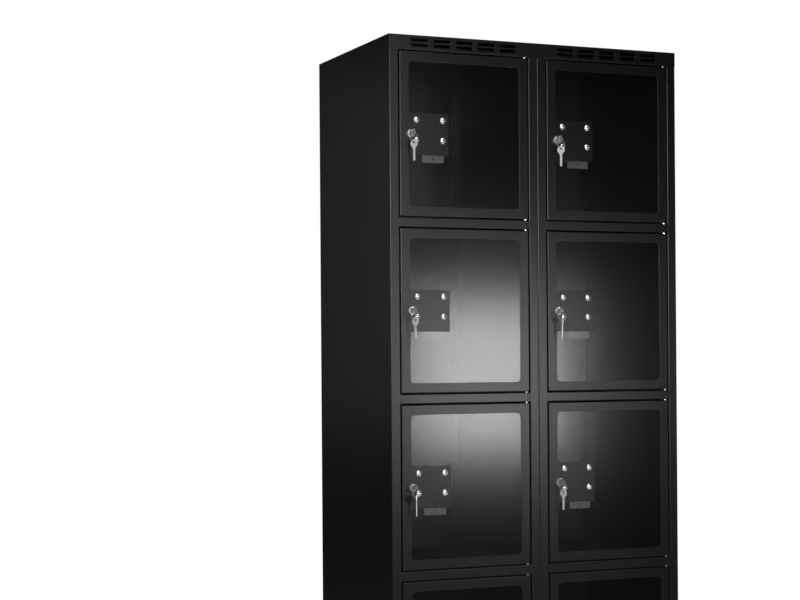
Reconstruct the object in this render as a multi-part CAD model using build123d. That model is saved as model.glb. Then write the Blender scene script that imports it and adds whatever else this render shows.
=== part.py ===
from build123d import *
import math
import os

os.makedirs("parts", exist_ok=True)

# Customer locker: two columns of four compartments in folded steel sheet. Each door is a
# folded frame with a clear panel, a lock tab, a key lock and two pin hinges.
# Millimetres, +Z up, front towards -Y. The parts are drawn with the front face of the
# cabinet at Y = 0, and save() moves them so that the origin is below the middle of the
# whole object, on the floor.

# Whole cabinet
overall_width = 800.0
overall_depth = 500.0
overall_height = 1800.0
column_names = ("left", "right")
tier_count = 4

# Carcass, in folded sheet
carcass_sheet = 1.0
carcass_bend = 1.8
upright_face = 24.0
crossbar_height = 23.0
top_rail_height = 37.0
base_rail_height = 37.0
return_depth = 26.0
stop_lip = 12.0
crossbar_depth = 25.0
rear_flange = 15.0
shelf_side_flange = 15.0
shelf_flange_setback = 30.0
base_foot_flange = 45.0
crossbar_seam = 0.8
crossbar_seam_inset = 2.0

# Ventilation slots in the top rail, five in each column and two rows
slot_count = 5
slot_pitch = 60.0
slot_length = 44.0
slot_height = 8.5
slot_row_heights = (12.2, 24.6)
slot_corner = 2.0

# Levelling feet
foot_height = 25.0
foot_inset_x = 36.0
foot_inset_y = 24.0
foot_pad_radius = 20.0
foot_pad_height = 9.0
foot_base_height = 4.5
foot_neck_radius = 9.0
foot_stud_radius = 5.0
foot_stud_top = 54.0
foot_stud_clearance = 0.3
foot_nut_flats = 17.0
foot_nut_height = 7.5

# Doors, in folded sheet
door_gap = 3.0
door_sheet = 1.2
door_bend = 1.8
door_depth = 18.0
door_border = 24.0
door_rear_lip = 10.0
lip_corner_relief = 6.0
window_radius = 11.0
tab_length = 105.0
tab_height = 102.0
tab_corner = 9.0

# Clear panel behind the opening of each door, and the lugs that hold it
panel_thickness = 3.0
panel_overlap = 10.0
panel_corner = 4.0
panel_notch_clearance = 2.0
lug_width = 20.0
lug_sheet = 1.2
lug_grip = 6.0
lug_gap = 0.3
lug_inset = 80.0
lug_offset = 120.0

# Pin hinges
pin_radius = 2.5
pin_inset_x = 5.5
pin_inset_y = 6.0
pin_in_frame = 11.0
pin_in_door = 12.0
pin_collar_radius = 4.0
pin_collar_play = 0.3
pin_running_clearance = 0.05
pin_fixed_clearance = 0.05
bush_radius = 5.0
bush_length = 12.5

# Rubber buffers that the closed door rests on
buffer_radius = 4.0
buffer_offset_x = 7.0
buffer_spacing = 300.0
buffer_play = 0.3

# Lock case behind the tab
case_left = 14.0
case_width = 107.0
case_height = 84.0
case_corner = 3.0
case_lug_left = 60.0
case_lug_width = 58.0
case_lug_drop = 27.0
case_lug_sheet = 1.5
case_lug_front = 5.0
case_lug_chamfer = 1.5
case_lug_hole = 2.2

# Mushroom head bolts that hold the case
bolt_first_x = 44.0
bolt_pitch_x = 70.0
bolt_pitch_z = 49.0
bolt_rise = 9.5
bolt_shank_radius = 3.0
bolt_clearance = 0.2
bolt_head_radius = 7.5
bolt_head_height = 4.2
bolt_depth = 13.0
bolt_hole_extra = 1.0

# Lock cylinder: fixed bezel, turning plug and locking cam
lock_x = 28.0
bezel_radius = 11.0
bezel_rim_radius = 9.6
bezel_height = 6.0
bezel_rim_height = 2.0
bezel_body_radius = 9.4
bezel_hole_clearance = 0.3
plug_radius = 7.5
plug_proud = 0.5
plug_running_clearance = 0.05
cam_clearance = 0.5
cam_thickness = 2.5
cam_width = 16.0
cam_reach = 25.0
cam_nose_width = 8.0
cam_nose_length = 4.0
cam_screw_flats = 8.0
cam_screw_height = 3.0
cam_post = 7.0

# Keys: one in the plug, a spare one on a ring through its bow
key_thickness = 2.0
key_blade_length = 30.0
key_blade_width = 5.6
key_tip = 2.0
key_neck_length = 3.5
key_neck_width = 8.5
key_bow_radius = 10.0
key_bow_centre = 12.0
key_hole_radius = 3.0
key_hole_centre = 15.0
key_cut_depth = 1.3
key_cut_pitch = 4.2
key_cut_start = 5.0
key_cut_count = 5
key_shoulder_gap = 0.5
keyway_clearance = 0.15
ring_radius = 10.0
ring_wire_radius = 0.9
ring_rest_gap = 0.2
spare_rest_gap = 0.6
spare_twists = ((34.0, 26.0, -24.0, 12.0), (38.0, -14.0, 22.0, -30.0))

# How far a cut starts outside the face that it goes into
cut_margin = 1.0

# Sizes that follow from the ones above
column_width = overall_width / len(column_names)
opening_width = column_width - 2 * upright_face
crossbar_total = crossbar_height * (tier_count - 1)
rails_total = top_rail_height + base_rail_height + foot_height
opening_height = (overall_height - rails_total - crossbar_total) / tier_count
door_width = opening_width - 2 * door_gap
door_height = opening_height - 2 * door_gap
door_middle = door_height / 2
back_sheet_front = overall_depth - carcass_sheet
flange_front = back_sheet_front - carcass_sheet
base_back = flange_front - carcass_sheet
base_top = foot_height + base_rail_height
fascia_bottom = overall_height - top_rail_height
wall_top = overall_height - carcass_sheet
case_back = return_depth
cam_front = return_depth + cam_clearance
plug_face = -(bezel_height + plug_proud)
key_shoulder = plug_face - key_shoulder_gap
ring_y = key_shoulder - key_hole_centre
ring_top = -(key_hole_radius - ring_wire_radius - ring_rest_gap)
ring_centre = ring_top - ring_radius
spare_hole = ring_centre - ring_radius - (key_hole_radius - ring_wire_radius - spare_rest_gap)


def spare_reach(twist):
    """How far a hanging key reaches in front of its hole's axis when it is turned by twist."""
    turn = math.radians(abs(twist))
    return key_bow_radius * math.cos(turn) + key_thickness / 2 * math.sin(turn)


all_twists = [twist for column in spare_twists for twist in column]
bow_reach = key_bow_centre + key_bow_radius - key_shoulder
key_reach = max(bow_reach, max(spare_reach(twist) for twist in all_twists) - ring_y)
front_y = (key_reach - overall_depth) / 2


def slab(x0, x1, y0, y1, z0, z1):
    """A block between two corners."""
    corner = (Align.MIN, Align.MIN, Align.MIN)
    return Pos(x0, y0, z0) * Box(x1 - x0, y1 - y0, z1 - z0, align=corner)


def rod(radius, x, y, z0, z1):
    """An upright cylinder."""
    return Pos(x, y, z0) * Cylinder(radius, z1 - z0, align=(Align.CENTER, Align.CENTER, Align.MIN))


def lying_rod(radius, x, z, y0, y1):
    """A cylinder along Y."""
    return Pos(x, y1, z) * Rot(90, 0, 0) * Cylinder(
        radius, y1 - y0, align=(Align.CENTER, Align.CENTER, Align.MIN))


def bent_strip(points, bends, radius):
    """The face of a folded strip: an outline with its outer bends rounded."""
    outline = make_face(Polyline(*points, close=True))
    corners = [v for v in outline.vertices() if any(
        abs(v.X - bend[0]) < 1e-6 and abs(v.Y - bend[1]) < 1e-6 for bend in bends)]
    return fillet(corners, radius)


def along_x(face, x0, x1):
    """A face drawn as (y, z) points, drawn out from x0 to x1."""
    return extrude(Plane((x0, 0, 0), x_dir=(0, 1, 0), z_dir=(1, 0, 0)) * face, x1 - x0)


def along_z(face, z0, z1):
    """A face drawn as (x, y) points, drawn out from z0 to z1."""
    return extrude(Plane((0, 0, z0)) * face, z1 - z0)


def along_y(face, y0, y1):
    """A face drawn as (x, z) points, drawn out from y0 back to y1."""
    return extrude(Plane((0, y0, 0), x_dir=(1, 0, 0), z_dir=(0, -1, 0)) * face, y0 - y1)


def save(name, *solids):
    """Write one named piece, or one group of like pieces."""
    placed = [Pos(0, front_y, 0) * solid for solid in solids]
    export_step(placed[0] if len(placed) == 1 else Compound(children=placed), f"parts/{name}.step")


def column_left(column):
    return -overall_width / 2 + column * column_width


def opening_bottom(tier):
    """Height of the lower edge of an opening. Tier 0 is the top one."""
    return base_top + (tier_count - 1 - tier) * (opening_height + crossbar_height)


def pin_x(column):
    return column_left(column) + upright_face + door_gap + door_width - pin_inset_x


# Uprights: wall, front face, and a return with a stop lip along each opening
def upright(wall_bottom):
    """The left wall of a column, drawn with its outer face at X = 0."""
    stub = upright_face - 2 * carcass_bend
    wall_rear = flange_front + carcass_sheet
    section = bent_strip(
        [(0, 0), (stub, 0), (stub, carcass_sheet), (carcass_sheet, carcass_sheet),
         (carcass_sheet, wall_rear), (0, wall_rear)],
        [(0, 0)], carcass_bend)
    wall = along_z(section, base_top, fascia_bottom)
    wall += slab(0, carcass_sheet, carcass_sheet, wall_rear, fascia_bottom, wall_top)
    if wall_bottom < base_top:
        wall += slab(0, carcass_sheet, carcass_sheet, wall_rear, wall_bottom, base_top)
    wall += slab(0, rear_flange, flange_front, wall_rear, wall_bottom, wall_top)
    inner = upright_face - carcass_sheet
    lip_front = return_depth - carcass_sheet
    lip_end = upright_face + stop_lip
    fold = bent_strip(
        [(stub, 0), (upright_face, 0), (upright_face, lip_front), (lip_end, lip_front),
         (lip_end, return_depth), (inner, return_depth), (inner, carcass_sheet),
         (stub, carcass_sheet)],
        [(upright_face, 0)], carcass_bend)
    for tier in range(tier_count):
        low = opening_bottom(tier)
        wall += along_z(fold, low, low + opening_height)
        if tier > 0:
            wall += slab(stub, upright_face, 0, carcass_sheet,
                         low + opening_height, low + opening_height + crossbar_height)
    return wall


# Shelves: a deck with the crossbar folded down from its front edge
def pin_hole(column, z0, z1):
    return rod(pin_radius + pin_fixed_clearance, pin_x(column), pin_inset_y, z0, z1)


def crossbar_seams(edge, middle):
    """The open seams of the pointed joint where a crossbar meets the upright on its hinge side."""
    run = crossbar_height / 2 - crossbar_seam_inset
    tip = edge - crossbar_seam
    seam = make_face(Polyline((tip, middle), (tip - run, middle + run),
                              (tip - run - crossbar_seam, middle + run),
                              (tip - crossbar_seam, middle),
                              (tip - run - crossbar_seam, middle - run),
                              (tip - run, middle - run), close=True))
    return along_y(seam, -cut_margin, carcass_sheet + cut_margin)


def shelf(column, tier):
    """The shelf under the opening of a tier, above the opening of the next one."""
    top = opening_bottom(tier)
    low = top - crossbar_height
    left = column_left(column)
    front = left + upright_face
    section = bent_strip(
        [(0, low), (crossbar_depth, low), (crossbar_depth, low + carcass_sheet),
         (carcass_sheet, low + carcass_sheet), (carcass_sheet, top - carcass_sheet),
         (crossbar_depth, top - carcass_sheet), (crossbar_depth, top), (0, top)],
        [(0, low), (0, top)], carcass_bend)
    inside_left = left + carcass_sheet
    inside_right = left + column_width - carcass_sheet
    body = along_x(section, front, front + opening_width)
    body += slab(inside_left, inside_right, carcass_sheet, flange_front, top - carcass_sheet, top)
    flange_low = top - shelf_side_flange
    flange_start = shelf_flange_setback
    flange_end = flange_front - shelf_flange_setback
    for x in (inside_left, inside_right - carcass_sheet):
        body += slab(x, x + carcass_sheet, flange_start, flange_end, flange_low, top)
    body -= crossbar_seams(front + opening_width, (low + top) / 2)
    return body - pin_hole(column, low - cut_margin, top + cut_margin)


# Top panel: roof, ventilated rail, and a return above each top opening
def slot_row(column, z):
    """One row of slots through the top rail of a column."""
    middle = column_left(column) + column_width / 2
    slots = []
    for index in range(slot_count):
        x = middle + (index - (slot_count - 1) / 2) * slot_pitch
        outline = Pos(x, z) * RectangleRounded(slot_length, slot_height, slot_corner)
        slots.append(along_y(outline, -cut_margin, carcass_sheet + cut_margin))
    return slots


def top_panel():
    half = overall_width / 2
    stub = fascia_bottom + 2 * carcass_bend
    roof = bent_strip(
        [(0, stub), (carcass_sheet, stub), (carcass_sheet, wall_top),
         (overall_depth, wall_top), (overall_depth, overall_height), (0, overall_height)],
        [(0, overall_height)], carcass_bend)
    body = along_x(roof, -half, half)
    fold = bent_strip(
        [(0, fascia_bottom), (crossbar_depth, fascia_bottom),
         (crossbar_depth, fascia_bottom + carcass_sheet),
         (carcass_sheet, fascia_bottom + carcass_sheet), (carcass_sheet, stub), (0, stub)],
        [(0, fascia_bottom)], carcass_bend)
    edge = -half
    for column in range(len(column_names)):
        start = column_left(column) + upright_face
        body += slab(edge, start, 0, carcass_sheet, fascia_bottom, stub)
        body += along_x(fold, start, start + opening_width)
        edge = start + opening_width
        body -= pin_hole(column, fascia_bottom - cut_margin, fascia_bottom + carcass_sheet + cut_margin)
        for depth in slot_row_heights:
            body -= slot_row(column, overall_height - depth)
    body += slab(edge, half, 0, carcass_sheet, fascia_bottom, stub)
    return body


# Base: floor of the lowest compartments, rail at the front and flanges for the feet
def foot_places():
    xs = (-overall_width / 2 + foot_inset_x, overall_width / 2 - foot_inset_x)
    ys = (foot_inset_y, base_back - foot_inset_y)
    return [(x, y) for x in xs for y in ys]


def base_panel():
    half = overall_width / 2
    inside = half - carcass_sheet
    stub = base_top - 2 * carcass_bend
    rail = bent_strip(
        [(0, foot_height), (base_foot_flange, foot_height),
         (base_foot_flange, foot_height + carcass_sheet),
         (carcass_sheet, foot_height + carcass_sheet), (carcass_sheet, stub), (0, stub)],
        [(0, foot_height)], carcass_bend)
    body = along_x(rail, -inside, inside)
    for x0, x1 in ((-half, -inside), (inside, half)):
        body += slab(x0, x1, 0, carcass_sheet, foot_height, base_top)
    fold = bent_strip(
        [(0, stub), (carcass_sheet, stub), (carcass_sheet, base_top - carcass_sheet),
         (crossbar_depth, base_top - carcass_sheet), (crossbar_depth, base_top), (0, base_top)],
        [(0, base_top)], carcass_bend)
    edge = -inside
    for column in range(len(column_names)):
        start = column_left(column) + upright_face
        body += slab(edge, start, 0, carcass_sheet, stub, base_top)
        body += along_x(fold, start, start + opening_width)
        edge = start + opening_width
    body += slab(edge, inside, 0, carcass_sheet, stub, base_top)
    body += slab(-inside, inside, carcass_sheet, base_back, base_top - carcass_sheet, base_top)
    body += slab(-inside, inside, base_back - carcass_sheet, base_back, foot_height, base_top)
    body += slab(-inside, inside, base_back - base_foot_flange, base_back,
                 foot_height, foot_height + carcass_sheet)
    for column in range(len(column_names)):
        body -= pin_hole(column, base_top - carcass_sheet - cut_margin, base_top + cut_margin)
    for x, y in foot_places():
        body -= rod(foot_stud_radius + foot_stud_clearance, x, y,
                    foot_height - cut_margin, foot_height + carcass_sheet + cut_margin)
    return body


def foot(x, y):
    """A pad with its stud, as one piece."""
    pad = rod(foot_pad_radius, x, y, 0, foot_base_height)
    cone = Pos(x, y, foot_base_height) * Cone(
        foot_pad_radius, foot_neck_radius, foot_pad_height - foot_base_height,
        align=(Align.CENTER, Align.CENTER, Align.MIN))
    return pad + cone + rod(foot_stud_radius, x, y, foot_pad_height, foot_stud_top)


def foot_nut(x, y, low):
    hexagon = RegularPolygon(foot_nut_flats / 2, 6, major_radius=False)
    body = along_z(Pos(x, y) * hexagon, low, low + foot_nut_height)
    return body - rod(foot_stud_radius, x, y, low - cut_margin, low + foot_nut_height + cut_margin)


# Hinge pins: one below and one above each door, with a collar in the gap
def hinge_pin(x, z, up):
    """A pin that stands in the frame at height z and reaches into the door."""
    shaft_end = door_gap + pin_in_door
    pin = rod(pin_radius, x, pin_inset_y, -pin_in_frame, shaft_end)
    pin += rod(pin_collar_radius, x, pin_inset_y, 0, door_gap - pin_collar_play)
    if not up:
        pin = Pos(2 * x, 0, 0) * Rot(0, 180, 0) * pin
    return Pos(0, 0, z) * pin


# Buffers on the stop lips
def buffer_pad(column, tier, side):
    x = column_left(column) + upright_face + buffer_offset_x
    z = opening_bottom(tier) + opening_height / 2 + side * buffer_spacing / 2
    return lying_rod(buffer_radius, x, z, door_depth + buffer_play, return_depth - carcass_sheet)


# Door frame, drawn with its lower left front corner at the origin
def window_outline():
    """The opening of the door: a rounded rectangle that the lock tab reaches into."""
    middle = (door_width / 2, door_middle)
    window = Pos(*middle) * RectangleRounded(
        door_width - 2 * door_border, door_height - 2 * door_border, window_radius)
    tab = Pos(door_border + tab_length / 2, door_middle) * Rectangle(tab_length, tab_height)
    window -= tab
    roots = [v for v in window.vertices() if abs(v.X - door_border) < 1e-6
             and abs(abs(v.Y - door_middle) - tab_height / 2) < 1e-6]
    return fillet(roots, tab_corner)


def bolt_places():
    """Centres of the four case bolts, as (x, z) on the door."""
    rise = door_middle + bolt_rise
    xs = (bolt_first_x, bolt_first_x + bolt_pitch_x)
    zs = (rise - bolt_pitch_z / 2, rise + bolt_pitch_z / 2)
    return [(x, z) for x in xs for z in zs]


def panel_lugs():
    """Lugs that grip the edge of the clear panel from behind."""
    reach = door_border - panel_overlap + lug_grip
    y0 = door_sheet + panel_thickness + lug_gap
    y1 = y0 + lug_sheet
    half = lug_width / 2
    lugs = []
    for x in (lug_inset, door_width - lug_inset):
        lugs.append(slab(x - half, x + half, y0, y1, door_sheet, reach))
        lugs.append(slab(x - half, x + half, y0, y1, door_height - reach, door_height - door_sheet))
    for z in (door_middle - lug_offset, door_middle + lug_offset):
        lugs.append(slab(door_sheet, reach, y0, y1, z - half, z + half))
        lugs.append(slab(door_width - reach, door_width - door_sheet, y0, y1, z - half, z + half))
    return lugs


def door_frame():
    outer = slab(0, door_width, 0, door_depth, 0, door_height)
    front_edges = [e for e in outer.edges() if abs(e.center().Y) < 1e-6]
    depth_edges = outer.edges().filter_by(Axis.Y)
    outer = fillet(front_edges + list(depth_edges), door_bend)
    rim = door_sheet + door_rear_lip
    body = outer - slab(door_sheet, door_width - door_sheet, door_sheet,
                        door_depth - door_sheet, door_sheet, door_height - door_sheet)
    body -= slab(rim, door_width - rim, door_depth - door_sheet - cut_margin, door_depth + cut_margin,
                 rim, door_height - rim)
    for x in (door_sheet, door_width - rim):
        for z in (rim, door_height - rim - lip_corner_relief):
            body -= slab(x, x + door_rear_lip, door_depth - door_sheet - cut_margin,
                         door_depth + cut_margin, z, z + lip_corner_relief)
    body -= along_y(window_outline(), -cut_margin, door_sheet + cut_margin)
    for lug in panel_lugs():
        body += lug
    hinge_x = door_width - pin_inset_x
    for low in (door_sheet / 2, door_height - door_sheet / 2 - bush_length):
        body += rod(bush_radius, hinge_x, pin_inset_y, low, low + bush_length)
    bore = pin_radius + pin_running_clearance
    body -= rod(bore, hinge_x, pin_inset_y, -cut_margin, bush_length + door_sheet)
    body -= rod(bore, hinge_x, pin_inset_y, door_height - bush_length - door_sheet,
                door_height + cut_margin)
    body -= lying_rod(bezel_body_radius + bezel_hole_clearance, lock_x, door_middle,
                      -cut_margin, door_sheet + cut_margin)
    for x, z in bolt_places():
        body -= lying_rod(bolt_shank_radius + bolt_clearance, x, z,
                          -cut_margin, door_sheet + cut_margin)
    return body


def door_panel():
    """The clear panel, notched round the lock case."""
    edge = door_border - panel_overlap
    width = door_width - 2 * edge
    height = door_height - 2 * edge
    outline = Pos(door_width / 2, door_middle) * RectangleRounded(width, height, panel_corner)
    notch_right = case_left + case_width + panel_notch_clearance
    notch_half = case_height / 2 + panel_notch_clearance
    outline -= Pos((notch_right + edge) / 2, door_middle) * Rectangle(
        notch_right - edge, 2 * notch_half)
    return along_y(outline, door_sheet, door_sheet + panel_thickness)


def lock_case():
    """The closed lock case, with the drilled lug that shows below the tab."""
    low = door_middle - case_height / 2
    case = slab(case_left, case_left + case_width, door_sheet, case_back, low, low + case_height)
    case = fillet(case.edges().filter_by(Axis.Y), case_corner)
    lug_low = low - case_lug_drop
    lug_right = case_lug_left + case_lug_width
    lug = slab(case_lug_left, lug_right, case_lug_front, case_lug_front + case_lug_sheet,
               lug_low, low + case_corner)
    corners = [e for e in lug.edges().filter_by(Axis.Y) if abs(e.center().Z - lug_low) < 1e-6]
    case += chamfer(corners, case_lug_chamfer)
    case -= lying_rod(plug_radius + plug_running_clearance, lock_x, door_middle,
                      0, case_back + cut_margin)
    case -= lying_rod(case_lug_hole, case_lug_left + case_lug_width / 2,
                      lug_low + case_lug_visible() / 2, 0, case_back)
    for x, z in bolt_places():
        case -= lying_rod(bolt_shank_radius + bolt_clearance, x, z, 0,
                          bolt_depth + bolt_hole_extra)
    return case


def case_lug_visible():
    """Height of the strip of the lug that shows below the tab."""
    return case_height / 2 + case_lug_drop - tab_height / 2


def bezel():
    """The fixed ring round the plug, with a body that passes through the door."""
    bore = plug_radius + plug_running_clearance
    section = make_face(Polyline(
        (bore, -bezel_height), (bezel_rim_radius, -bezel_height), (bezel_radius, -bezel_rim_height),
        (bezel_radius, 0), (bezel_body_radius, 0), (bezel_body_radius, door_sheet),
        (bore, door_sheet), close=True))
    ring = revolve(section, Axis.Y)
    return Pos(lock_x, 0, door_middle) * ring


def bolt(x, z):
    """A mushroom head bolt, with its head in front of the door."""
    sphere = (bolt_head_radius ** 2 + bolt_head_height ** 2) / (2 * bolt_head_height)
    half_angle = math.asin(bolt_head_radius / sphere) / 2
    mid = (sphere * math.sin(half_angle), sphere - bolt_head_height - sphere * math.cos(half_angle))
    crown = ThreePointArc((0, -bolt_head_height), mid, (bolt_head_radius, 0))
    rest = Polyline((bolt_head_radius, 0), (bolt_shank_radius, 0), (bolt_shank_radius, bolt_depth),
                    (0, bolt_depth), (0, -bolt_head_height))
    return Pos(x, 0, z) * revolve(make_face([crown, rest]), Axis.Y)


def key_blank():
    """A flat key in the XZ plane: shoulder at Z = 0, blade up, bow down, 2 mm thick in Y."""
    half = key_blade_width / 2
    blade = make_face(Polyline(
        (-half, -key_neck_length), (half, -key_neck_length),
        (half, key_blade_length - key_tip), (0, key_blade_length),
        (-half, key_blade_length - key_tip), close=True))
    for index in range(key_cut_count):
        z = key_cut_start + key_cut_pitch * index
        blade -= make_face(Polyline(
            (half + cut_margin, z - key_cut_pitch / 2), (half - key_cut_depth, z),
            (half + cut_margin, z + key_cut_pitch / 2), close=True))
    neck = Pos(0, -key_neck_length / 2) * Rectangle(key_neck_width, key_neck_length)
    bow = Pos(0, -key_bow_centre) * Circle(key_bow_radius)
    bow -= Pos(0, -key_hole_centre) * Circle(key_hole_radius)
    outline = blade + neck + bow
    return extrude(Plane.XZ * outline, key_thickness / 2, both=True)


def key_in_lock():
    """The key in the plug, its bow upright and its blade pointing back."""
    key = Rot(0, 0, 90) * key_blank()
    key = Rot(90, 0, 0) * key
    return Pos(lock_x, key_shoulder, door_middle) * Rot(0, 180, 0) * Rot(180, 0, 0) * key


def key_ring():
    ring = Torus(ring_radius, ring_wire_radius)
    return Pos(lock_x, ring_y, door_middle + ring_centre) * Rot(90, 0, 0) * ring


def spare_key(twist):
    """The key that hangs on the ring, turned about the upright line through its hole."""
    key = Rot(180, 0, 0) * (Pos(0, 0, key_hole_centre) * key_blank())
    return Pos(lock_x, ring_y, door_middle + spare_hole) * Rot(0, 0, 90 + twist) * key


def plug():
    """The turning core, with a keyway and a square post for the cam."""
    body = lying_rod(plug_radius, lock_x, door_middle, plug_face, cam_front)
    body += slab(lock_x - cam_post / 2, lock_x + cam_post / 2, cam_front - cut_margin,
                 cam_front + cam_thickness, door_middle - cam_post / 2, door_middle + cam_post / 2)
    slot_x = key_thickness / 2 + keyway_clearance
    slot_z = key_blade_width / 2 + keyway_clearance
    slot_end = key_shoulder + key_blade_length + keyway_clearance
    return body - slab(lock_x - slot_x, lock_x + slot_x, plug_face - cut_margin, slot_end,
                       door_middle - slot_z, door_middle + slot_z)


def cam():
    """The locking arm, which points down when the door is unlocked."""
    round_end = Pos(lock_x, door_middle) * Circle(cam_width / 2)
    arm_end = cam_reach - cam_nose_length
    arm = Pos(lock_x, door_middle - arm_end / 2) * Rectangle(cam_width, arm_end)
    nose = Pos(lock_x, door_middle - cam_reach / 2) * Rectangle(cam_nose_width, cam_reach)
    post = Pos(lock_x, door_middle) * Rectangle(cam_post, cam_post)
    return along_y(round_end + arm + nose - post, cam_front, cam_front + cam_thickness)


def cam_screw():
    low = cam_front + cam_thickness
    hexagon = Pos(lock_x, door_middle) * RegularPolygon(cam_screw_flats / 2, 6, major_radius=False)
    return along_y(hexagon, low, low + cam_screw_height)


# Cabinet pieces
width = len(column_names) * column_width
outer_wall = upright(foot_height)
inner_wall = upright(base_top)
save("left_side_panel", Pos(-width / 2, 0, 0) * outer_wall)
save("right_side_panel", Pos(width / 2, 0, 0) * mirror(outer_wall, Plane.YZ))
save("left_partition", mirror(inner_wall, Plane.YZ))
save("right_partition", inner_wall)
save("top_panel", top_panel())
save("base_panel", base_panel())
save("back_panel", slab(-width / 2, width / 2, back_sheet_front, overall_depth, foot_height, wall_top))

for column, column_name in enumerate(column_names):
    save(f"{column_name}_shelves", *[shelf(column, tier) for tier in range(tier_count - 1)])

feet = [foot(x, y) for x, y in foot_places()]
for x, y in foot_places():
    feet.append(foot_nut(x, y, foot_height - foot_nut_height))
    feet.append(foot_nut(x, y, foot_height + carcass_sheet))
save("levelling_feet", *feet)

pins = []
buffers = []
for column in range(len(column_names)):
    for tier in range(tier_count):
        low = opening_bottom(tier)
        pins.append(hinge_pin(pin_x(column), low, True))
        pins.append(hinge_pin(pin_x(column), low + opening_height, False))
        buffers.append(buffer_pad(column, tier, 1))
        buffers.append(buffer_pad(column, tier, -1))
save("hinge_pins", *pins)
save("door_buffers", *buffers)

# Door pieces, the same for each compartment apart from how the spare key hangs
frame = door_frame()
panel = door_panel()
case = lock_case()
bright = [bezel()] + [bolt(x, z) for x, z in bolt_places()]
core = [plug(), cam(), cam_screw(), key_in_lock(), key_ring()]
for column, column_name in enumerate(column_names):
    for tier in range(tier_count):
        place = Pos(column_left(column) + upright_face + door_gap, 0, opening_bottom(tier) + door_gap)
        label = f"{column_name}_{tier + 1}"
        save(f"door_frame_{label}", place * frame)
        save(f"door_window_{label}", place * panel)
        save(f"lock_case_{label}", place * case)
        save(f"lock_bezel_bolts_{label}", *[place * piece for piece in bright])
        save(f"lock_plug_{label}", *[place * piece for piece in core])
        save(f"spare_key_{label}", place * spare_key(spare_twists[column][tier]))
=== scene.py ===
"""Looks of the customer locker: finishes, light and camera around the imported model. Metres."""

import math

import bpy
from mathutils import Matrix, Vector


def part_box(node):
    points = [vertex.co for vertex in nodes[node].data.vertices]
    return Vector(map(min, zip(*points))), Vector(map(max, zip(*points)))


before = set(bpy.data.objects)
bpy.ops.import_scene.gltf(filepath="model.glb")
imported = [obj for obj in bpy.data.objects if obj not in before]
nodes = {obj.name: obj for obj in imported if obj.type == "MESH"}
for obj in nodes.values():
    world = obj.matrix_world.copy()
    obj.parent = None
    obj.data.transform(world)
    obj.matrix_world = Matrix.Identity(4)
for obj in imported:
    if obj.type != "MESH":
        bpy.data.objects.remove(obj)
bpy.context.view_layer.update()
front_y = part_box("left_side_panel")[0].y

# The photograph's frame in pixels, and its view
IMAGE_WIDTH = 800
IMAGE_HEIGHT = 600
FOCAL_PIXELS = 1783.64
AXIS_PIXEL = (428.33, 353.66)
CAMERA_PLACE = Vector((-2.0196, -4.2385, 1.0231))
CAMERA_HEADING = math.radians(23.215)
CAMERA_ROLL = math.radians(-0.4023)
SENSOR_WIDTH_MM = 36.0

# Floor: a pale disc that fades into the white background
FLOOR_SIDES = 48
FLOOR_RADIUS = 2.2
FLOOR_FADE_START = 1.3
FLOOR_FADE_END = 0.98 * FLOOR_RADIUS

# Studio: half angles of the backdrop and of the pale walls to the right, to the left and behind, then
# strengths of the walls and of the rest of the room in reflections, and of the room's fill light
BACKDROP_INNER = math.radians(14)
BACKDROP_OUTER = math.radians(26)
WALL_INNER = math.radians(12)
WALL_OUTER = math.radians(45)
WALL_DIRECTIONS = ((1.0, 0.0, 0.0), (-1.0, 0.0, 0.0), (0.45, 0.89, 0.0))
WALL_GLOW = 0.25
ROOM_DIM = 0.006
ROOM_FILL = 0.12

# Colours, linear
WHITE = (1.0, 1.0, 1.0)
FLOOR_GREY = (0.78, 0.78, 0.77)
PAINT_BLACK = (0.0020, 0.0020, 0.0021)
BACK_GREY = (0.008, 0.008, 0.008)
LOCK_GREY = (0.08, 0.08, 0.081)
NICKEL = (0.83, 0.82, 0.80)
KEY_NICKEL = (0.72, 0.71, 0.69)
# The bezels' nickel made darker for the lock plugs, as painted shade and painted dark reflection
LOCK_NICKEL_PAINTED_SHADE = (0.30, 0.295, 0.285)
ZINC = (0.62, 0.63, 0.65)
RUBBER = (0.012, 0.012, 0.012)
CLEAR_TINT = (0.955, 0.965, 0.97)
DUST_GREY = (0.006, 0.006, 0.0058)
# Dark grey painted as shade into the corners of the lock plugs
CORNER_SHADE_GREY = (0.03, 0.03, 0.03)

# Dust: how far up a face looks where it starts and where it is full, and its roughness
DUST_START = 0.8
DUST_FULL = 0.98
DUSTY_ROUGHNESS = 0.6

# Painted corner shade: how open a place is to its surroundings where the painted shade is full and where
# it ends
CORNER_SHADE_FULL = 0.25
CORNER_SHADE_NONE = 0.8

# Rays for each point of a rounded edge, and of a place that painted corner shade may darken
EDGE_SAMPLES = 4
CORNER_SHADE_SAMPLES = 8

# Clear sheet: its refractive index, and the gloss of both its faces as a multiple of one face's
CLEAR_IOR = 1.49
BOTH_FACES = 1.85


# Node helpers
class Tree:
    """The node tree of a material or the world, with short ways to add and join nodes."""

    def __init__(self, owner, output="OutputMaterial"):
        owner.use_nodes = True
        self.tree = owner.node_tree
        self.tree.nodes.clear()
        self.output = self.tree.nodes.new("ShaderNode" + output)

    def add(self, kind, settings=(), values=(), links=()):
        """A node of a kind, with its settings, its sockets' values and what feeds its sockets."""
        node = self.tree.nodes.new("ShaderNode" + kind)
        for name, value in dict(settings).items():
            setattr(node, name, value)
        for name, value in dict(values).items():
            node.inputs[name].default_value = value
        for name, source in dict(links).items():
            self.tree.links.new(source, node.inputs[name])
        return node

    def show(self, shader):
        self.tree.links.new(shader, self.output.inputs["Surface"])


def rgba(colour, factor=1.0):
    """A colour times a factor, fully opaque."""
    return tuple(c * factor for c in colour) + (1.0,)


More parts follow.
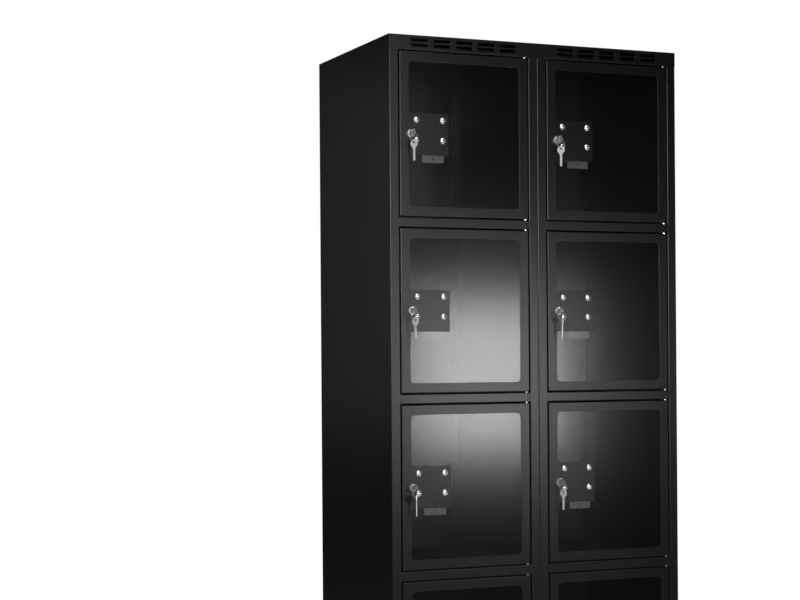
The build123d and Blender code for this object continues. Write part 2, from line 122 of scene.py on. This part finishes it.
def noise(t, place, scale, detail, roughness=0.5):
    """A noise's factor, in the coordinates of place; scale is in turns per metre."""
    return t.add("TexNoise", values={"Scale": scale, "Detail": detail, "Roughness": roughness},
                 links={"Vector": place}).outputs["Fac"]


def uneven(t, factor, middle, swing):
    """A number that swings about its middle as the factor goes from 0 to 1."""
    return t.add("MapRange", values={"To Min": middle - swing, "To Max": middle + swing},
                 links={"Value": factor}).outputs["Result"]


def smooth_step(t, value, start, end, low=0.0, high=1.0):
    """A number that goes smoothly from low to high as the value goes from start to end."""
    return t.add("MapRange", settings={"interpolation_type": "SMOOTHSTEP"},
                 values={"From Min": start, "From Max": end, "To Min": low, "To Max": high},
                 links={"Value": value}).outputs["Result"]


def calculate(t, operation, first, second, clamp=False):
    """One operation on two numbers, each of them a socket or a plain number."""
    plain = {i: n for i, n in enumerate((first, second)) if isinstance(n, float)}
    linked = {i: n for i, n in enumerate((first, second)) if not isinstance(n, float)}
    return t.add("Math", settings={"operation": operation, "use_clamp": clamp}, values=plain,
                 links=linked).outputs["Value"]


def mottled(t, factor, colour, darkest, lightest):
    """A colour that goes from darkest to lightest, as multiples of itself, with a factor."""
    ramp = t.add("ValToRGB", links={"Fac": factor})
    ramp.color_ramp.elements[0].color = rgba(colour, darkest)
    ramp.color_ramp.elements[1].color = rgba(colour, lightest)
    return ramp.outputs["Color"]


def rounded_normal(t, radius):
    """The normal with every edge rounded."""
    bevel = t.add("Bevel", settings={"samples": EDGE_SAMPLES}, values={"Radius": radius})
    return bevel.outputs["Normal"]


def bumped(t, pattern, strength, depth, normal=None):
    """The normal with a pattern raised on it."""
    links = {"Height": pattern}
    if normal is not None:
        links["Normal"] = normal
    return t.add("Bump", values={"Strength": strength, "Distance": depth}, links=links).outputs["Normal"]


def mix_shaders(t, share, first, second):
    """The first shader with a share of the second."""
    return t.add("MixShader", links={"Fac": share, 1: first, 2: second}).outputs["Shader"]


def facing_up(t):
    """1 on faces that look up, where dust settles, and 0 on the others."""
    normal = t.add("NewGeometry").outputs["Normal"]
    height = t.add("SeparateXYZ", links={"Vector": normal}).outputs["Z"]
    return smooth_step(t, height, DUST_START, DUST_FULL)


def painted_corner_shade(t, tone, reach):
    """A tone darkened by painted shade in corners, where the next surface is within reach."""
    open_share = t.add("AmbientOcclusion", settings={"samples": CORNER_SHADE_SAMPLES, "only_local": True},
                       values={"Distance": reach}).outputs["AO"]
    unshaded = t.add("MapRange", values={"From Min": CORNER_SHADE_FULL, "From Max": CORNER_SHADE_NONE},
                  links={"Value": open_share}).outputs["Result"]
    return t.add("MixRGB", values={"Color1": rgba(CORNER_SHADE_GREY)},
                 links={"Fac": unshaded, "Color2": tone}).outputs["Color"]


# Finishes
def start_material(name):
    """A new material, its node tree and the place on the object that its patterns follow."""
    material = bpy.data.materials.new(name)
    t = Tree(material)
    return material, t, t.add("TexCoord").outputs["Object"]


def powder_coat(name, colour, roughness, specular=0.5, edge_radius=0.001):
    """Satin powder coat: fine orange peel, uneven gloss and a film of dust on what faces up."""
    material, t, place = start_material(name)
    peel = noise(t, place, scale=1400.0, detail=2.0)
    cloud = noise(t, place, scale=9.0, detail=3.0)
    clean_tone = mottled(t, cloud, colour, darkest=0.8, lightest=1.25)
    dust = facing_up(t)
    tone = t.add("MixRGB", values={"Color2": rgba(DUST_GREY)}, links={"Fac": dust, "Color1": clean_tone})
    clean_gloss = uneven(t, cloud, roughness, swing=0.007)
    gloss = t.add("MapRange", values={"To Max": DUSTY_ROUGHNESS},
                  links={"Value": dust, "To Min": clean_gloss})
    normal = bumped(t, peel, strength=0.35, depth=0.0001, normal=rounded_normal(t, edge_radius))
    shader = t.add("BsdfPrincipled", values={"Specular IOR Level": specular},
                   links={"Base Color": tone.outputs["Color"], "Roughness": gloss.outputs["Result"],
                          "Normal": normal})
    t.show(shader.outputs["BSDF"])
    return material


def plated_metal(name, colour, roughness, metallic, shade_reach=0.0):
    """Plated steel with faint handling marks, and painted shade in its corners where it has a reach."""
    material, t, place = start_material(name)
    marks = noise(t, place, scale=900.0, detail=4.0, roughness=0.6)
    cloud = noise(t, place, scale=120.0, detail=2.0)
    tone = mottled(t, cloud, colour, darkest=0.86, lightest=1.08)
    # Painted shade: the colour goes darker where other surfaces of the part are near
    if shade_reach > 0.0:
        tone = painted_corner_shade(t, tone, shade_reach)
    gloss = uneven(t, marks, roughness, swing=0.03)
    normal = bumped(t, marks, strength=0.12, depth=0.00005, normal=rounded_normal(t, radius=0.0003))
    shader = t.add("BsdfPrincipled", values={"Metallic": metallic},
                   links={"Base Color": tone, "Roughness": gloss, "Normal": normal})
    t.show(shader.outputs["BSDF"])
    return material


def zinc_plate(name, colour):
    """Zinc plate with its small spangle."""
    material, t, place = start_material(name)
    spangle = t.add("TexVoronoi", values={"Scale": 260.0}, links={"Vector": place}).outputs["Distance"]
    tone = mottled(t, spangle, colour, darkest=0.8, lightest=1.1)
    gloss = uneven(t, spangle, middle=0.375, swing=0.075)
    shader = t.add("BsdfPrincipled", values={"Metallic": 0.9},
                   links={"Base Color": tone, "Roughness": gloss,
                          "Normal": rounded_normal(t, radius=0.0004)})
    t.show(shader.outputs["BSDF"])
    return material


def rubber(name, colour):
    """Matt rubber with a fine speckle."""
    material, t, place = start_material(name)
    speckle = noise(t, place, scale=700.0, detail=3.0)
    tone = mottled(t, speckle, colour, darkest=0.7, lightest=1.4)
    normal = bumped(t, speckle, strength=0.3, depth=0.0001)
    shader = t.add("BsdfPrincipled", values={"Roughness": 0.75},
                   links={"Base Color": tone, "Normal": normal})
    t.show(shader.outputs["BSDF"])
    return material


def clear_sheet(name, roughness):
    """A see-through sheet: straight through, with the gloss of both its faces on the front one."""
    material, t, place = start_material(name)
    wipe_marks = noise(t, place, scale=26.0, detail=3.0)
    gloss = t.add("BsdfAnisotropic", values={"Color": rgba(WHITE)},
                  links={"Roughness": uneven(t, wipe_marks, roughness, swing=0.015)})
    see_through = t.add("BsdfTransparent", values={"Color": rgba(CLEAR_TINT)})
    fresnel = t.add("Fresnel", values={"IOR": CLEAR_IOR}).outputs["Fac"]
    in_front = calculate(t, "SUBTRACT", 1.0, t.add("NewGeometry").outputs["Backfacing"])
    both_faces = calculate(t, "MULTIPLY", fresnel, BOTH_FACES)
    share = calculate(t, "MULTIPLY", both_faces, in_front, clamp=True)
    t.show(mix_shaders(t, share, see_through.outputs["BSDF"], gloss.outputs["BSDF"]))
    return material


def paint_nodes(prefixes, material):
    """Give a material and its record slot to each CAD node whose name starts with one of the prefixes."""
    for name, thing in nodes.items():
        if name.startswith(prefixes):
            thing.data.materials.clear()
            thing.data.materials.append(material)


# Painted sheet steel
CARCASS_NODES = ("left_side_panel", "right_side_panel", "left_partition", "right_partition", "top_panel",
                 "base_panel", "left_shelves", "right_shelves")
carcass_paint = powder_coat("carcass_powder_coat", PAINT_BLACK, roughness=0.281, specular=0.56)
door_paint = powder_coat("door_powder_coat", PAINT_BLACK, roughness=0.281, specular=0.56)
back_paint = powder_coat("back_panel_coat", BACK_GREY, roughness=0.4)
lock_paint = powder_coat("lock_case_paint", LOCK_GREY, roughness=0.42, edge_radius=0.0003)
paint_nodes(CARCASS_NODES, carcass_paint)
paint_nodes(("back_panel",), back_paint)
paint_nodes(("door_frame_",), door_paint)
paint_nodes(("lock_case_",), lock_paint)

# Windows, metal and rubber
clear_panel = clear_sheet("clear_panel", roughness=0.165)
bright_nickel = plated_metal("bright_nickel", NICKEL, roughness=0.23, metallic=0.9)
# Lock plugs, cams, keys in the locks and rings: darker nickel as painted shade, with painted shade in
# their corners
lock_nickel_painted_shade = plated_metal("lock_nickel_painted_shade", LOCK_NICKEL_PAINTED_SHADE, roughness=0.46, metallic=0.9, shade_reach=0.006)
key_nickel = plated_metal("key_nickel", KEY_NICKEL, roughness=0.31, metallic=0.5)
paint_nodes(("door_window_",), clear_panel)
paint_nodes(("lock_bezel_bolts_", "hinge_pins"), bright_nickel)
paint_nodes(("lock_plug_",), lock_nickel_painted_shade)
paint_nodes(("spare_key_",), key_nickel)
paint_nodes(("levelling_feet",), zinc_plate("zinc_plate", ZINC))
paint_nodes(("door_buffers",), rubber("buffer_rubber", RUBBER))


# Floor
def floor_material():
    """Matt grey in the middle, which keeps the locker's shadow, and the background's white outside."""
    material, t, place = start_material("pale_floor")
    distance = t.add("VectorMath", settings={"operation": "LENGTH"}, links={0: place}).outputs["Value"]
    fade = smooth_step(t, distance, FLOOR_FADE_START, FLOOR_FADE_END)
    matt = t.add("BsdfDiffuse", values={"Color": rgba(FLOOR_GREY)})
    white = t.add("Emission", values={"Color": rgba(WHITE), "Strength": 1.0})
    clear = t.add("BsdfTransparent")
    path = t.add("LightPath")
    seen = calculate(t, "MAXIMUM", path.outputs["Is Camera Ray"], path.outputs["Is Transmission Ray"])
    outer = mix_shaders(t, seen, clear.outputs["BSDF"], white.outputs["Emission"])
    t.show(mix_shaders(t, fade, matt.outputs["BSDF"], outer))
    return material


def pale_floor():
    """A disc under the locker, which isn't part of it."""
    angles = [2 * math.pi * i / FLOOR_SIDES for i in range(FLOOR_SIDES)]
    rim = [(FLOOR_RADIUS * math.cos(a), FLOOR_RADIUS * math.sin(a), 0.0) for a in angles]
    mesh = bpy.data.meshes.new("floor")
    mesh.from_pydata(rim, [], [list(range(FLOOR_SIDES))])
    mesh.materials.append(floor_material())
    floor = bpy.data.objects.new("floor", mesh)
    bpy.context.scene.collection.objects.link(floor)


pale_floor()


# Studio
def glow_towards(t, direction, aim, inner, outer, low=0.0, high=1.0):
    """High in directions within the inner angle of the aim, and low beyond the outer angle."""
    along = t.add("VectorMath", settings={"operation": "DOT_PRODUCT"}, values={1: aim},
                  links={0: direction}).outputs["Value"]
    return smooth_step(t, along, math.cos(outer), math.cos(inner), low, high)


def studio_world():
    """A white backdrop behind the locker, which only the camera and reflections see, and a dim room."""
    world = bpy.data.worlds.new("studio")
    bpy.context.scene.world = world
    t = Tree(world, "OutputWorld")
    direction = t.add("TexCoord").outputs["Generated"]
    path = t.add("LightPath")
    reflected = calculate(t, "MAXIMUM", path.outputs["Is Glossy Ray"], path.outputs["Is Transmission Ray"])
    heading = (math.sin(CAMERA_HEADING), math.cos(CAMERA_HEADING), 0.0)
    backdrop = glow_towards(t, direction, heading, BACKDROP_INNER, BACKDROP_OUTER)
    mirrored_backdrop = calculate(t, "MULTIPLY", reflected, backdrop)
    white_share = calculate(t, "MAXIMUM", path.outputs["Is Camera Ray"], mirrored_backdrop)
    mirrored_room = ROOM_DIM
    for wall in WALL_DIRECTIONS:
        glow = glow_towards(t, direction, wall, WALL_INNER, WALL_OUTER, ROOM_DIM, WALL_GLOW)
        mirrored_room = calculate(t, "MAXIMUM", mirrored_room, glow)
    room_level = t.add("MapRange", values={"To Min": ROOM_FILL},
                       links={"Value": reflected, "To Max": mirrored_room}).outputs["Result"]
    white = t.add("Background", values={"Color": rgba(WHITE), "Strength": 1.0})
    room = t.add("Background", values={"Color": rgba(WHITE)}, links={"Strength": room_level})
    t.show(mix_shaders(t, white_share, room.outputs["Background"], white.outputs["Background"]))


studio_world()


# Lamps
def soft_lamp(name, place, target, size, power):
    """A rectangular lamp that faces its target and isn't seen itself."""
    data = bpy.data.lights.new(name, "AREA")
    data.shape = "RECTANGLE"
    data.size, data.size_y = size
    data.energy = power
    lamp = bpy.data.objects.new(name, data)
    lamp.location = place
    lamp.visible_camera = False
    lamp.rotation_mode = "QUATERNION"
    lamp.rotation_quaternion = (Vector(target) - Vector(place)).to_track_quat("-Z", "Y")
    bpy.context.scene.collection.objects.link(lamp)


# The first shows as the bright patch on the front, the second lights the top of its left upright, the
# third lights it from the camera's side, the fourth lights the left side and the last hangs overhead
soft_lamp("front_softbox", place=(1.2, -3.13, 0.925), target=(-0.15, front_y, 0.975),
          size=(0.62, 0.61), power=9.25)
soft_lamp("upper_left_softbox", place=(0.1, -3.3, 1.74), target=(-0.5, front_y, 1.3),
          size=(0.34, 0.9), power=16.0)
soft_lamp("camera_side_softbox", place=(-3.1, -3.8, 1.62), target=(-0.2, front_y, 1.2),
          size=(2.2, 1.3), power=120.0)
soft_lamp("left_rear_softbox", place=(-2.2, 3.4, 1.5), target=(-0.4, 0.0, 1.2),
          size=(1.0, 1.7), power=0.9)
soft_lamp("overhead_softbox", place=(-0.6, -0.6, 3.9), target=(0.0, 0.0, 0.9),
          size=(2.0, 2.0), power=60.0)


# Camera
def photo_camera():
    """The camera at the photograph's view; the shift brings its axis to its pixel."""
    data = bpy.data.cameras.new("photo_view")
    data.sensor_width = SENSOR_WIDTH_MM
    data.lens = SENSOR_WIDTH_MM * FOCAL_PIXELS / IMAGE_WIDTH
    data.shift_x = (IMAGE_WIDTH / 2 - AXIS_PIXEL[0]) / IMAGE_WIDTH
    data.shift_y = (AXIS_PIXEL[1] - IMAGE_HEIGHT / 2) / IMAGE_WIDTH
    camera = bpy.data.objects.new("photo_view", data)
    level = Matrix.Rotation(-CAMERA_HEADING, 4, "Z") @ Matrix.Rotation(math.pi / 2, 4, "X")
    camera.matrix_world = Matrix.Translation(CAMERA_PLACE) @ level @ Matrix.Rotation(CAMERA_ROLL, 4, "Z")
    bpy.context.scene.collection.objects.link(camera)
    bpy.context.scene.camera = camera


photo_camera()
bpy.context.scene.view_settings.view_transform = "Standard"
